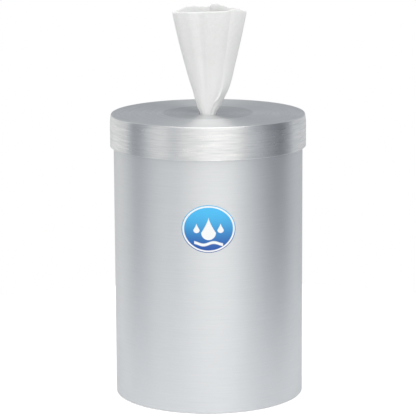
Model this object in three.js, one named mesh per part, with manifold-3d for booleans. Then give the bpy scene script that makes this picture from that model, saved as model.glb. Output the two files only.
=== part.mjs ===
// A counter-top dispenser for wet wipes: a brushed aluminium canister with a slip-on lid.
// A plastic liner stands inside and holds a centre-pull roll, and the first wipe comes up
// through a port in the middle of the lid. Millimetres, +Z up, the canister's axis on Z,
// its foot on Z = 0 and its front towards -Y.
import * as THREE from "three";
import { mergeVertices } from "three/addons/utils/BufferGeometryUtils.js";
import Module from "manifold-3d";

const wasm = await Module();
wasm.setup();

// Clearance between pieces that touch, and the steps round a turned piece.
const fit = 0.3;
const aroundShell = 64;
const aroundInner = 48;
const aroundLabel = 96;

// Canister tube.
const tubeRadius = 101.5;
const tubeWall = 1.2;
const tubeHeight = 298.8;
const hemDrop = 6;

// Base plate, pressed into the tube, and the rubber ring under it.
const plateThick = 1.2;
const plateFlange = 8;
const footProud = 0.8;
const footWidth = 7;
const footRound = 1.5;

// Liner bucket.
const linerWall = 1.6;
const linerFloor = 2;
const linerTaper = 2.5;
const linerCorner = 6;
const lipThick = 1.8;
const lipDrop = 9;

// Lid.
const lidWall = 1.2;
const lidGap = 2.5;
const skirtHeight = 35;
const shoulder = 2.6;
const draft = 1.2;
const draftDrop = 10;
const dishRadius = 49.5;
const dishDepth = 1.2;
const dishStep = 0.4;
const dishSlope = 4;
const portRadius = 9.4;
const portRound = 1.4;
const collarDrop = 5;

// Foam seal under the lid.
const sealThick = 2.5;
const sealWidth = 5;

// Star-cut nozzle under the port.
const nozzleFlangeRadius = 26;
const nozzleFlangeThick = 1.6;
const nozzleWall = 2;
const petalThick = 1.5;
const petalCount = 6;
const slitWidth = 0.8;
const funnelDrop = 12;
const funnelFlare = 8;

// Roll of wipes and the sheets drawn from its middle.
const sheetWidth = 203;
const sheetLength = 152;
const coreShare = 0.245;
const turnBands = 6;
const turnDepth = 1.6;
const clothThick = 0.8;
const neckRadius = 7.5;
const neckPleat = 0.6;
const pleatDepth = 2.2;
const pleatCount = 8;
const wipeRise = 115;
const fanHalfWidth = 40.2;
const fanHalfDepth = 14;
const fanPower = 0.68;
const fanLean = 2.5;
const leanRise = 20;
const flatCut = 108;
const fanFloor = 14;
const tipPinch = 0.35;
const levelSpread = 1.3;
const foldDepth = 2.4;
const foldAt = -0.27;
const foldPitch = 0.82;

// Printed label on the front.
const labelHeight = 199;
const labelHalfWidth = 28;
const labelHalfHeight = 25;
const labelThick = 0.3;

// Levels and radii that follow from the sizes above.
const tubeInner = tubeRadius - tubeWall;
const rimZ = footProud + tubeHeight;
const lipBottom = rimZ + fit;
const lipTop = lipBottom + lipThick;
const sealBottom = lipTop + fit;
const sealTop = sealBottom + sealThick;
const lidUnder = sealTop + fit;
const lidTop = lidUnder + lidWall;
const lidRadius = tubeRadius + lidGap + lidWall;
const lidInner = lidRadius - lidWall;
const skirtBottom = lidTop - skirtHeight;
const dishZ = lidTop - dishDepth;
const collarRadius = portRadius + lidWall;
const collarBottom = dishZ - lidWall - collarDrop;
const plateUnder = footProud + plateFlange;
const plateTop = plateUnder + plateThick;
const plateRadius = tubeInner - fit;
const linerBottom = plateTop + fit;
const linerTopRadius = tubeInner - tubeWall - 2 * fit;
const linerBaseRadius = linerTopRadius - linerTaper;
const rollRadius = linerBaseRadius - linerCorner;
const coreRadius = rollRadius * coreShare;
const rollBottom = linerBottom + linerFloor + fit;
const rollTop = rollBottom + sheetWidth;
const wipeTop = lidTop + wipeRise;
const wipeBottom = wipeTop - sheetLength;
const portalRadius = neckRadius + neckPleat + fit;

// Turns a closed outline, drawn anticlockwise in (radius, height), about Z. Each round
// stretch of the outline takes two steps.
function turned(outline, around) {
  const points = outline.getPoints(1);
  const geometry = new THREE.LatheGeometry(points, around);
  return geometry.rotateX(Math.PI / 2);
}

function startAt(r, z) {
  const outline = new THREE.Path();
  outline.moveTo(r, z);
  return outline;
}

// Quarter and half turns for outlines, by centre, radius and angles in quarter turns.
function arc(outline, r, z, radius, from, to) {
  outline.absarc(r, z, radius, (from * Math.PI) / 2, (to * Math.PI) / 2, to < from);
  return outline;
}

// A geometry as a manifold solid, and back.
function solid(geometry) {
  const bare = geometry.index ? geometry.toNonIndexed() : geometry.clone();
  bare.deleteAttribute("normal");
  bare.deleteAttribute("uv");
  const merged = mergeVertices(bare, 1e-4);
  return new wasm.Manifold(
    new wasm.Mesh({
      numProp: 3,
      vertProperties: merged.attributes.position.array,
      triVerts: new Uint32Array(merged.index.array),
    }),
  );
}

function geometryOf(body) {
  const mesh = body.getMesh();
  return new THREE.BufferGeometry()
    .setAttribute("position", new THREE.BufferAttribute(mesh.vertProperties, 3))
    .setIndex(new THREE.BufferAttribute(mesh.triVerts, 1));
}

// Joins rings of equal count into one closed body, with a fan over the first and last ring.
function lofted(rings) {
  const count = rings[0].length;
  const points = rings.flat();
  const faces = [];
  for (let i = 0; i + 1 < rings.length; i++) {
    for (let k = 0; k < count; k++) {
      const a = i * count + k;
      const b = i * count + ((k + 1) % count);
      faces.push(a, b, a + count, b, b + count, a + count);
    }
  }
  const middle = (ring) =>
    ring.reduce((sum, p) => sum.add(p), new THREE.Vector3()).divideScalar(count);
  const last = (rings.length - 1) * count;
  points.push(middle(rings[0]), middle(rings[rings.length - 1]));
  for (let k = 0; k < count; k++) {
    const next = (k + 1) % count;
    faces.push(points.length - 2, next, k);
    faces.push(points.length - 1, last + k, last + next);
  }
  return new THREE.BufferGeometry().setFromPoints(points).setIndex(faces);
}

// Rolled sheet tube: its top edge is folded inwards once, as a safe rim for the liner.
function canisterShell() {
  const outline = startAt(tubeRadius, footProud);
  outline.lineTo(tubeRadius, rimZ - tubeWall);
  arc(outline, tubeRadius - tubeWall, rimZ - tubeWall, tubeWall, 0, 2);
  outline.lineTo(tubeInner - tubeWall, rimZ - hemDrop);
  outline.lineTo(tubeInner, rimZ - hemDrop);
  outline.lineTo(tubeInner, footProud);
  outline.closePath();
  return turned(outline, aroundShell);
}

// Pressed disc with its flange turned down, welded in flush with the tube's lower edge.
function basePlate() {
  const outline = startAt(0, plateUnder);
  outline.lineTo(plateRadius - plateThick, plateUnder);
  outline.lineTo(plateRadius - plateThick, footProud);
  outline.lineTo(plateRadius, footProud);
  outline.lineTo(plateRadius, plateTop - plateThick);
  arc(outline, plateRadius - plateThick, plateTop - plateThick, plateThick, 0, 1);
  outline.lineTo(0, plateTop);
  return turned(outline, aroundInner);
}

// Soft ring in the recess under the plate: the only thing that meets the table.
function footRing() {
  const outer = plateRadius - plateThick - fit;
  const inner = outer - footWidth;
  const outline = startAt(inner + footRound, 0);
  outline.lineTo(outer - footRound, 0);
  arc(outline, outer - footRound, footRound, footRound, -1, 0);
  outline.lineTo(outer, plateUnder - fit);
  outline.lineTo(inner, plateUnder - fit);
  outline.lineTo(inner, footRound);
  arc(outline, inner + footRound, footRound, footRound, 2, 3);
  outline.closePath();
  return turned(outline, aroundInner);
}

// Tapered bucket whose lip hooks over the tube's rim and fills the gap behind the lid's skirt.
function linerBucket() {
  const lipOuter = lidInner - fit;
  const lipInner = tubeRadius + fit;
  const lipRound = lipOuter - lipInner;
  const neckInner = linerTopRadius - linerWall;
  const outline = startAt(0, linerBottom);
  outline.lineTo(linerBaseRadius - linerCorner, linerBottom);
  arc(outline, linerBaseRadius - linerCorner, linerBottom + linerCorner, linerCorner, -1, 0);
  outline.lineTo(linerTopRadius, rimZ - hemDrop);
  outline.lineTo(linerTopRadius, lipBottom);
  outline.lineTo(lipInner, lipBottom);
  outline.lineTo(lipInner, lipTop - lipDrop);
  outline.lineTo(lipOuter, lipTop - lipDrop);
  outline.lineTo(lipOuter, lipTop - lipRound);
  arc(outline, lipInner, lipTop - lipRound, lipRound, 0, 1);
  outline.lineTo(neckInner, lipTop);
  outline.lineTo(neckInner, rimZ - hemDrop);
  const innerCorner = linerCorner - linerWall;
  const innerBase = linerBaseRadius - linerCorner;
  outline.lineTo(innerBase + innerCorner, linerBottom + linerFloor + innerCorner);
  arc(outline, innerBase, linerBottom + linerFloor + innerCorner, innerCorner, 0, -1);
  outline.lineTo(0, linerBottom + linerFloor);
  return turned(outline, aroundShell);
}

// Spun in one piece: a flat top that falls a little towards the port, a rounded shoulder,
// a skirt that bows out a little, and the port's edge turned down as a smooth collar.
function lidShell() {
  const shoulderR = lidRadius - draft - shoulder;
  const shoulderZ = lidTop - shoulder;
  const bow = draftDrop - shoulder;
  const edge = lidWall / 2;
  const outline = startAt(portRadius, collarBottom);
  outline.lineTo(collarRadius, collarBottom);
  outline.lineTo(collarRadius, dishZ - lidWall);
  outline.lineTo(dishRadius - dishSlope, lidTop - dishStep - lidWall);
  outline.lineTo(dishRadius, lidTop - lidWall);
  outline.lineTo(shoulderR, lidTop - lidWall);
  arc(outline, shoulderR, shoulderZ, shoulder - lidWall, 1, 0);
  outline.absellipse(lidInner - draft, lidTop - draftDrop, draft, bow, Math.PI / 2, 0, true, 0);
  outline.lineTo(lidInner, skirtBottom + edge);
  arc(outline, lidInner + edge, skirtBottom + edge, edge, 2, 4);
  outline.lineTo(lidRadius, lidTop - draftDrop);
  outline.absellipse(lidRadius - draft, lidTop - draftDrop, draft, bow, 0, Math.PI / 2, false, 0);
  arc(outline, shoulderR, shoulderZ, shoulder, 0, 1);
  outline.lineTo(dishRadius, lidTop);
  outline.lineTo(dishRadius - dishSlope, lidTop - dishStep);
  outline.lineTo(portRadius + portRound, dishZ);
  arc(outline, portRadius + portRound, dishZ - portRound, portRound, 1, 2);
  outline.closePath();
  return turned(outline, aroundShell);
}

// Foam ring glued under the lid, which closes on the liner's lip.
function lidSeal() {
  const outer = tubeRadius - fit;
  const outline = startAt(outer - sealWidth, sealBottom);
  outline.lineTo(outer, sealBottom);
  outline.lineTo(outer, sealTop);
  outline.lineTo(outer - sealWidth, sealTop);
  outline.closePath();
  return turned(outline, aroundInner);
}

// Moulded nozzle that snaps over the collar: a flange, a funnel below for the cloth to run up,
// and a diaphragm cut into petals that grip the neck of the wipe.
function wipeNozzle() {
  const flangeTop = dishZ - lidWall - fit;
  const flangeBottom = flangeTop - nozzleFlangeThick;
  const socket = collarRadius + fit;
  const barrel = socket + nozzleWall;
  const petalTop = collarBottom - fit;
  const petalBottom = petalTop - petalThick;
  const outline = startAt(portalRadius, petalBottom);
  outline.lineTo(barrel - nozzleWall, petalBottom);
  outline.lineTo(barrel + funnelFlare - nozzleWall, petalBottom - funnelDrop);
  outline.lineTo(barrel + funnelFlare, petalBottom - funnelDrop);
  outline.lineTo(barrel, petalBottom);
  outline.lineTo(barrel, flangeBottom);
  outline.lineTo(nozzleFlangeRadius, flangeBottom);
  outline.lineTo(nozzleFlangeRadius, flangeTop);
  outline.lineTo(socket, flangeTop);
  outline.lineTo(socket, petalTop);
  outline.lineTo(portalRadius, petalTop);
  outline.closePath();
  let nozzle = solid(turned(outline, aroundInner));
  const slitReach = socket - nozzleWall / 2;
  for (let k = 0; k < petalCount; k++) {
    const slit = new THREE.BoxGeometry(slitReach, slitWidth, petalThick * 2);
    slit.translate(slitReach / 2, 0, petalBottom + petalThick / 2);
    slit.rotateZ((k * 2 * Math.PI) / petalCount);
    nozzle = nozzle.subtract(solid(slit));
  }
  return geometryOf(nozzle);
}

// One roll: the wound turns show on its upper end as low ridges in bands.
function wipesRoll() {
  const band = (rollRadius - coreRadius) / turnBands;
  const outline = startAt(coreRadius, rollBottom);
  outline.lineTo(rollRadius, rollBottom);
  outline.lineTo(rollRadius, rollTop - turnDepth);
  for (let k = 0; k < turnBands; k++) {
    const outer = rollRadius - k * band;
    outline.lineTo(outer - band / 2, rollTop);
    outline.lineTo(outer - band, rollTop - turnDepth);
  }
  outline.closePath();
  return turned(outline, aroundInner);
}

// Half the width of the drawn-out cloth at a height above the lid, and half its depth.
function halfWidthAt(rise) {
  const open = Math.pow(Math.max(rise, 0) / flatCut, fanPower);
  return neckRadius + (fanHalfWidth - neckRadius) * open;
}

function halfDepthAt(rise) {
  const open = Math.pow(Math.max(rise, 0) / flatCut, fanPower);
  return neckRadius + (fanHalfDepth - neckRadius) * open;
}

// One ring of the fan. A flattened cone with sharp side creases, pleats at the neck that
// open out upwards, and two long hollows down its front, at set places across its width.
function fanRing(height, inset, steps) {
  const ring = [];
  for (let k = 0; k < steps; k++) {
    const turn = (k * 2 * Math.PI) / steps;
    const side = Math.sin(turn);
    const rise = height(turn) - lidTop;
    const opened = Math.min(Math.max(rise, 0) / flatCut, 1);
    const wave = (1 + Math.cos(pleatCount * turn)) / 2;
    const pleat = (1 - opened) * (neckPleat - pleatDepth * wave);
    const pinch = Math.pow(Math.abs(side), tipPinch * opened);
    const place = (Math.cos(turn) - foldAt) / foldPitch;
    const folds = side < 0 ? -Math.cos(2 * Math.PI * place) : 0;
    const lean = fanLean * Math.min(Math.max(rise, 0) / leanRise, 1);
    const x = lean + (halfWidthAt(rise) + pleat - inset) * Math.cos(turn);
    const y = (halfDepthAt(rise) + pleat - inset) * side * pinch + foldDepth * opened * folds * side;
    ring.push(new THREE.Vector3(x, y, height(turn)));
  }
  return ring;
}

// Upper edge of the sheet: level at the front, higher at the back, with the sheet's corner
// standing up just right of the middle.
function fanEdge(turn) {
  const across = Math.cos(turn);
  const cornerAt = 0.05;
  const frontDrop = 5;
  const leftDrop = 3;
  const tipDrop = 7;
  if (Math.sin(turn) < 0) return wipeTop - frontDrop - (tipDrop - frontDrop) * across * across;
  if (across > cornerAt) return wipeTop - (tipDrop * (across - cornerAt)) / (1 - cornerAt);
  return wipeTop - leftDrop - (tipDrop - leftDrop) * Math.pow(across, 4);
}

// The wipe that stands ready: gathered in the port, fanned out above as an open flat cone.
function leadingWipe() {
  const steps = 48;
  const levels = 8;
  const rings = [];
  const ringAt = (share, inset) =>
    fanRing((turn) => lidTop + share * (fanEdge(turn) - lidTop), inset, steps);
  const neckStops = [wipeBottom, collarBottom, lidTop];
  for (const z of neckStops) rings.push(fanRing(() => z, 0, steps));
  for (let i = 1; i <= levels; i++) {
    rings.push(ringAt(Math.pow(i / levels, levelSpread), 0));
  }
  const floorShare = fanFloor / wipeRise;
  for (let i = levels; i >= 0; i--) {
    const share = floorShare + (1 - floorShare) * Math.pow(i / levels, levelSpread);
    rings.push(ringAt(share, clothThick));
  }
  return lofted(rings);
}

// The next sheet, joined to the first at the perforation: it lies round the wall of the
// roll's core and is drawn in and up to the nozzle.
function nextWipe() {
  const steps = 32;
  const levels = 7;
  const high = wipeBottom - fit;
  const low = high - sheetLength;
  const wide = coreRadius - fit;
  const ringAt = (share, inset) => {
    const ring = [];
    const drawnIn = share * share * (3 - 2 * share);
    const radius = wide + (neckRadius - wide) * drawnIn - inset;
    for (let k = 0; k < steps; k++) {
      const turn = (k * 2 * Math.PI) / steps;
      const pleated = radius - neckPleat * drawnIn * (1 + Math.cos(pleatCount * turn));
      ring.push(
        new THREE.Vector3(
          pleated * Math.cos(turn),
          pleated * Math.sin(turn),
          low + share * (high - low),
        ),
      );
    }
    return ring;
  };
  const roof = 0.6;
  const inner = [];
  const outer = [];
  for (let i = 0; i <= levels; i++) {
    outer.push(ringAt(i / levels, 0));
    inner.unshift(ringAt((roof * i) / levels, clothThick));
  }
  return lofted([...inner, ...outer]);
}

// Thin printed label, curved to the tube.
function frontLabel() {
  const inner = tubeRadius + fit;
  const outline = startAt(inner, labelHeight - labelHalfHeight - 1);
  outline.lineTo(inner + labelThick, labelHeight - labelHalfHeight - 1);
  outline.lineTo(inner + labelThick, labelHeight + labelHalfHeight + 1);
  outline.lineTo(inner, labelHeight + labelHalfHeight + 1);
  outline.closePath();
  const face = new THREE.Shape();
  face.absellipse(0, 0, labelHalfWidth, labelHalfHeight, 0, 2 * Math.PI, false, 0);
  const cutter = new THREE.ExtrudeGeometry(face, {
    depth: tubeRadius,
    bevelEnabled: false,
    curveSegments: 20,
  });
  cutter.rotateX(Math.PI / 2).translate(0, -labelHalfWidth, labelHeight);
  return geometryOf(solid(turned(outline, aroundLabel)).intersect(solid(cutter)));
}

const brushed = new THREE.MeshStandardMaterial({ color: 0xc9cccf, metalness: 0.9, roughness: 0.4 });
const pressed = new THREE.MeshStandardMaterial({ color: 0xb4b7ba, metalness: 0.9, roughness: 0.5 });
const rubber = new THREE.MeshStandardMaterial({ color: 0x2b2c2e, roughness: 0.9 });
const foam = new THREE.MeshStandardMaterial({ color: 0x55585c, roughness: 0.95 });
const natural = new THREE.MeshStandardMaterial({ color: 0xe4e7e6, roughness: 0.5 });
const moulded = new THREE.MeshStandardMaterial({ color: 0xd9dddd, roughness: 0.45 });
const cloth = new THREE.MeshStandardMaterial({ color: 0xeef0ee, roughness: 0.95 });
const printed = new THREE.MeshStandardMaterial({ color: 0x1f78c8, roughness: 0.35 });

function piece(name, geometry, material) {
  const mesh = new THREE.Mesh(geometry, material);
  mesh.name = name;
  return mesh;
}

const canister = new THREE.Group();
canister.add(
  piece("canister_shell", canisterShell(), brushed),
  piece("base_plate", basePlate(), pressed),
  piece("foot_ring", footRing(), rubber),
  piece("front_label", frontLabel(), printed),
  piece("liner_bucket", linerBucket(), natural),
  piece("wipes_roll", wipesRoll(), cloth),
  piece("next_wipe", nextWipe(), cloth),
);

const lid = new THREE.Group();
lid.add(
  piece("lid_shell", lidShell(), brushed),
  piece("lid_seal", lidSeal(), foam),
  piece("wipe_nozzle", wipeNozzle(), moulded),
  piece("leading_wipe", leadingWipe(), cloth),
);

const dispenser = new THREE.Group();
dispenser.add(canister, lid);

export default dispenser;
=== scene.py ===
import bmesh
import bpy
import numpy as np
from mathutils import Matrix, Vector


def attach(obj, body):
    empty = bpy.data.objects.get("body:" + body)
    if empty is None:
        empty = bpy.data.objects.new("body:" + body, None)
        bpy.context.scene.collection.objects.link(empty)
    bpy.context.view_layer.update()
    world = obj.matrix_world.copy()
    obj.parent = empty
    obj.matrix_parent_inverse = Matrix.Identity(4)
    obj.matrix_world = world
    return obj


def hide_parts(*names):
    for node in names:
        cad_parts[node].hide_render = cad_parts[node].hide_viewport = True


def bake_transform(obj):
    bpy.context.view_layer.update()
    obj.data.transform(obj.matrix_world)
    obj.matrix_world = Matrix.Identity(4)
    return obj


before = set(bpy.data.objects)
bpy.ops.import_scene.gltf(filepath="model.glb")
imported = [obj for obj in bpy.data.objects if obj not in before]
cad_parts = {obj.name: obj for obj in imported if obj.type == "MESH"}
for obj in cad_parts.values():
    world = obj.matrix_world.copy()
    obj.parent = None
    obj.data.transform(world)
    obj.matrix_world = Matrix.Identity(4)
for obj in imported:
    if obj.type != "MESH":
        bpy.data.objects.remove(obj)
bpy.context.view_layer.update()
mm = 0.001
aroundSteps = 192  # steps round every turned piece, seam at the back


# Meshes from arrays

def gridPiece(name, points, along, across, wrapRows=False, wrapCols=False):
    # points[i, j] is the surface at parameter pair (along[i], across[j]); a wrapped direction
    # joins its last line to its first, and along or across then has one more value
    rows, cols = points.shape[:2]
    i = np.arange(rows if wrapRows else rows - 1)[:, None]
    j = np.arange(cols if wrapCols else cols - 1)[None, :]
    corners = ((0, 0), (0, 1), (1, 1), (1, 0))
    faces = np.stack([(i + di) % rows * cols + (j + dj) % cols for di, dj in corners], -1)
    mesh = bpy.data.meshes.new(name)
    mesh.from_pydata((points.reshape(-1, 3) * mm).tolist(), [], faces.reshape(-1, 4).tolist())
    uv = [np.stack(np.broadcast_arrays(across[j + dj], along[i + di]), -1) for di, dj in corners]
    layer = mesh.uv_layers.new(name="surface")
    layer.data.foreach_set("uv", np.stack(uv, 2).reshape(-1).astype(np.float32))
    obj = bpy.data.objects.new(name, mesh)
    bpy.context.collection.objects.link(obj)
    return obj


def smoothFaces(obj):
    # shades every face of a piece smooth
    obj.data.polygons.foreach_set("use_smooth", np.ones(len(obj.data.polygons), dtype=bool))


def closeUp(obj):
    # welds the points that meet on the axis, and gives the whole piece smooth faces
    work = bmesh.new()
    work.from_mesh(obj.data)
    bmesh.ops.remove_doubles(work, verts=work.verts, dist=1e-6)
    work.to_mesh(obj.data)
    work.free()
    smoothFaces(obj)
    return obj


def thicken(obj, thick, side):
    # gives an open surface a wall, outwards where side is 1 and inwards where it is -1
    wall = obj.modifiers.new("wall", "SOLIDIFY")
    wall.thickness = thick * mm
    wall.offset = side
    bpy.context.view_layer.objects.active = obj
    bpy.ops.object.modifier_apply(modifier=wall.name)


def markPoints(obj, name, share):
    # a value from 0 to 1 at each point, which a material reads by its name
    layer = obj.data.attributes.new(name, "FLOAT", "POINT")
    layer.data.foreach_set("value", share.reshape(-1).astype(np.float32))


def lengthAlong(points):
    # length of a line from its first point to each of its points
    return np.concatenate([[0], np.cumsum(np.linalg.norm(np.diff(points, axis=0), axis=1))])


def wholeTurn(steps):
    # angles that share a whole turn evenly, from 0, without the last
    return np.arange(steps) * 2 * np.pi / steps


def roundAxis(radius, angle, height):
    # points about Z with angle 0 at the back: x = -radius sin(angle), y = radius cos(angle)
    return np.stack(np.broadcast_arrays(-radius * np.sin(angle), radius * np.cos(angle), height), -1)


def smoothStep(low, high, value):
    # 0 below low, 1 above high, 3t^2 - 2t^3 between
    t = np.clip((value - low) / (high - low), 0, 1)
    return t * t * (3 - 2 * t)


def bell(value, middle, width):
    # exp(-((value - middle) / width)^2): 1 in the middle, close to 0 two widths away
    return np.exp(-((value - middle) / width) ** 2)


def filleted(corners, closed=True, steps=6):
    # each corner (r, z, radius) becomes a true arc: a rational quadratic between its two
    # tangent points, weighted by the cosine of half the turn. The points lie at a reach of
    # radius * tan(turn / 2), or less on a short side, with a support point beyond each
    mostReach = 0.3  # of the shorter of the two sides
    support = 1.4  # times the reach
    corners = np.array(corners, dtype=float)
    point = corners[:, :2]
    back = np.roll(point, 1, 0) - point
    ahead = np.roll(point, -1, 0) - point
    backLength = np.linalg.norm(back, axis=1, keepdims=True)
    aheadLength = np.linalg.norm(ahead, axis=1, keepdims=True)
    back = back / backLength
    ahead = ahead / aheadLength
    turn = np.arccos(np.clip(-(back * ahead).sum(1, keepdims=True), -1, 1))
    limit = mostReach * np.minimum(backLength, aheadLength)
    reach = np.minimum(corners[:, 2:] * np.tan(turn / 2), limit)
    weight = np.cos(turn / 2)[:, None]
    t = np.linspace(0, 1, steps + 1)[None, :, None]
    a = ((1 - t) ** 2) * (point + back * reach)[:, None]
    b = 2 * t * (1 - t) * weight * point[:, None]
    c = (t ** 2) * (point + ahead * reach)[:, None]
    arc = (a + b + c) / ((1 - t) ** 2 + 2 * t * (1 - t) * weight + t ** 2)
    first = (point + back * reach * support)[:, None]
    last = (point + ahead * reach * support)[:, None]
    line = np.concatenate([first, arc, last], 1)
    if not closed:
        line[0] = point[0]
        line[-1] = point[-1]
    line = line.reshape(-1, 2)
    keep = np.linalg.norm(line - np.roll(line, 1, 0), axis=1) > 1e-6
    keep[0] = True
    return line[keep]


def lathe(name, profile, closed=True, steps=aroundSteps):
    # profile (r, z), anticlockwise, turned about Z; the UV map holds the angle in turns and the
    # length along the profile in metres
    points = roundAxis(profile[:, :1], wholeTurn(steps), profile[:, 1:])
    ring = np.concatenate([profile, profile[:1]]) if closed else profile
    obj = gridPiece(name, points, lengthAlong(ring) * mm, np.arange(steps + 1) / steps, closed, True)
    return closeUp(obj)


# Camera

camera = {
    "place": (0.0, -2.3095, 0.6488),
    "target": (0.0, 0.0, 0.2016),
    "lens": 188.2,
    "sensor": 36,
    "roll": -0.306,  # degrees
    "shift": -0.001,
    "farthest": 50,
}


def setCamera():
    # looks from place to target, then turns by roll about its own axis
    data = bpy.data.cameras.new("photoCamera")
    data.lens = camera["lens"]
    data.sensor_width = camera["sensor"]
    data.shift_x = camera["shift"]
    data.clip_end = camera["farthest"]
    obj = bpy.data.objects.new("photoCamera", data)
    place = Vector(camera["place"])
    look = (Vector(camera["target"]) - place).to_track_quat("-Z", "Y").to_matrix().to_4x4()
    tilt = Matrix.Rotation(np.radians(camera["roll"]), 4, "Z")
    obj.matrix_world = Matrix.Translation(place) @ look @ tilt
    bpy.context.collection.objects.link(obj)
    bpy.context.scene.camera = obj


# Shader helpers

def addNode(tree, kind, **values):
    # a node with its settings and its sockets' values given by name
    node = tree.nodes.new(kind)
    for key, value in values.items():
        if hasattr(node, key):
            setattr(node, key, value)
        else:
            node.inputs[key.replace("_", " ")].default_value = value
    return node


def mathNode(tree, operation, *values):
    # one Math node; its values are sockets or numbers
    node = tree.nodes.new("ShaderNodeMath")
    node.operation = operation
    for socket, value in zip(node.inputs, values):
        if isinstance(value, (int, float)):
            socket.default_value = value
        else:
            tree.links.new(value, socket)
    return node.outputs[0]


def times(tree, a, b):
    # a times b; each is a socket or a number
    return mathNode(tree, "MULTIPLY", a, b)


def weightedSum(tree, *terms):
    # the sum of sockets, each times its own number
    total = None
    for socket, share in terms:
        part = times(tree, socket, share)
        total = part if total is None else mathNode(tree, "ADD", total, part)
    return total


def mixColours(tree, factor, a, b):
    # colour a where the factor is 0 and b where it is 1; a and b are sockets or colours
    mix = tree.nodes.new("ShaderNodeMix")
    mix.data_type = "RGBA"
    tree.links.new(factor, mix.inputs["Factor"])
    for key, value in (("A", a), ("B", b)):
        if isinstance(value, tuple):
            mix.inputs[key].default_value = (*value, 1)
        else:
            tree.links.new(value, mix.inputs[key])
    return mix.outputs["Result"]


def newMaterial(name, colour, roughness, metallic=0.0, **more):
    # a material with one Principled shader; further sockets are given by name
    material = bpy.data.materials.new(name)
    material.use_nodes = True
    tree = material.node_tree
    shader = tree.nodes["Principled BSDF"]
    shader.inputs["Base Color"].default_value = (*colour, 1)
    shader.inputs["Roughness"].default_value = roughness
    shader.inputs["Metallic"].default_value = metallic
    for key, value in more.items():
        shader.inputs[key.replace("_", " ")].default_value = value
    return material, tree, shader


def noiseNode(tree, vector, scale, detail=3.0, rough=0.5):
    # cloudy noise about 0.5, with scale features for each unit of the vector
    node = addNode(tree, "ShaderNodeTexNoise", Scale=scale, Detail=detail, Roughness=rough)
    tree.links.new(vector, node.inputs["Vector"])
    return node.outputs["Fac"]


def objectPlace(tree):
    # the piece's own coordinates, in metres
    return tree.nodes.new("ShaderNodeTexCoord").outputs["Object"]


def surfacePlace(tree):
    # the UV map that gridPiece gives every piece
    node = tree.nodes.new("ShaderNodeUVMap")
    node.uv_map = "surface"
    return node.outputs["UV"]


def splitAxes(tree, vector):
    # a vector's parts, read as outputs X, Y and Z
    node = tree.nodes.new("ShaderNodeSeparateXYZ")
    tree.links.new(vector, node.inputs[0])
    return node.outputs


def ownValue(tree, name):
    # the value that the piece holds at each point under a name
    node = tree.nodes.new("ShaderNodeAttribute")
    node.attribute_name = name
    return node.outputs["Fac"]


def rangeNode(tree, value, fromLow, fromHigh, toLow=0.0, toHigh=1.0):
    # maps fromLow to toLow and fromHigh to toHigh in a straight line, and holds beyond them
    node = addNode(tree, "ShaderNodeMapRange",
                   From_Min=fromLow, From_Max=fromHigh, To_Min=toLow, To_Max=toHigh)
    tree.links.new(value, node.inputs["Value"])
    return node.outputs["Result"]


def tint(tree, shader, factor, dark, light):
    # base colour between two tones by a factor from 0 to 1
    tree.links.new(mixColours(tree, factor, dark, light), shader.inputs["Base Color"])


def bump(tree, shader, height, distance, strength=1.0):
    # tilts the surface as relief does whose height of 1 is that distance in metres
    node = addNode(tree, "ShaderNodeBump", Distance=distance, Strength=strength)
    tree.links.new(height, node.inputs["Height"])
    tree.links.new(node.outputs["Normal"], shader.inputs["Normal"])


# Materials

tubeLook = {
    "dark": (0.764, 0.783, 0.807),
    "light": (0.812, 0.827, 0.847),
    "roughness": (0.46, 0.53),
    "anisotropy": 0.55,
    "fineLines": 3200.0,  # brush lines for each metre across the brushing
    "broadLines": 1100.0,
    "broadShare": 0.45,
    "broadStretch": 0.6,  # how quickly a broad line changes, as a share of lineLength
    "contrast": 0.20,  # half the range of noise that runs from dark to light
    "lineLength": 42.0,  # how quickly a line changes along the brushing
    "lineDepth": 0.000006,
}
lidLook = {
    **tubeLook,
    "dark": (0.735, 0.748, 0.766),
    "light": (0.935, 0.940, 0.945),
    "roughness": (0.24, 0.44),
    "anisotropy": 0.84,
    "fineLines": 2000.0,
    "broadLines": 520.0,
    "broadShare": 0.6,
    "contrast": 0.16,
    "lineLength": 55.0,
    "lineDepth": 0.000012,
    "turnedRadius": 0.0495,  # inside it the top is turned to a darker finish
    "turnedFade": (-0.0012, 0.0004),  # over which the tone changes there
    "turnedTone": 0.87,
    "portRadius": 0.022,  # painted shade round the wipe: inside it the tone is lower again, and it evens out to the turned edge
    "portShadeTone": 0.93,
    "flatLevel": 0.3045,  # above it the lid is flat and its lines are fainter
    "flatFade": (-0.002, 0.001),  # over which the lines grow fainter
    "flatCalm": 0.45,
}
pressedLook = {
    **tubeLook,
    "dark": (0.66, 0.67, 0.69),
    "light": (0.74, 0.75, 0.765),
    "roughness": (0.45, 0.60),
    "anisotropy": 0.3,
}


def darkenDisc(tree, shader, axes, look):
    # inside a radius about the axis the tone is times one share, and times a painted shade round
    # the wipe that rises from its own value at the port to 1 at that radius
    square = mathNode(tree, "ADD", mathNode(tree, "POWER", axes["X"], 2.0),
                      mathNode(tree, "POWER", axes["Y"], 2.0))
    radius = mathNode(tree, "SQRT", square)
    edge = look["turnedRadius"]
    within, beyond = look["turnedFade"]
    tone = rangeNode(tree, radius, edge + within, edge + beyond, look["turnedTone"], 1.0)
    # painted shade round the wipe, deepest at the port
    shadeNearWipe = rangeNode(tree, radius, look["portRadius"], edge, look["portShadeTone"], 1.0)
    source = shader.inputs["Base Color"].links[0].from_socket
    scale = tree.nodes.new("ShaderNodeVectorMath")
    scale.operation = "SCALE"
    tree.links.new(source, scale.inputs[0])
    tree.links.new(times(tree, tone, shadeNearWipe), scale.inputs["Scale"])
    tree.links.new(scale.outputs["Vector"], shader.inputs["Base Color"])


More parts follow.
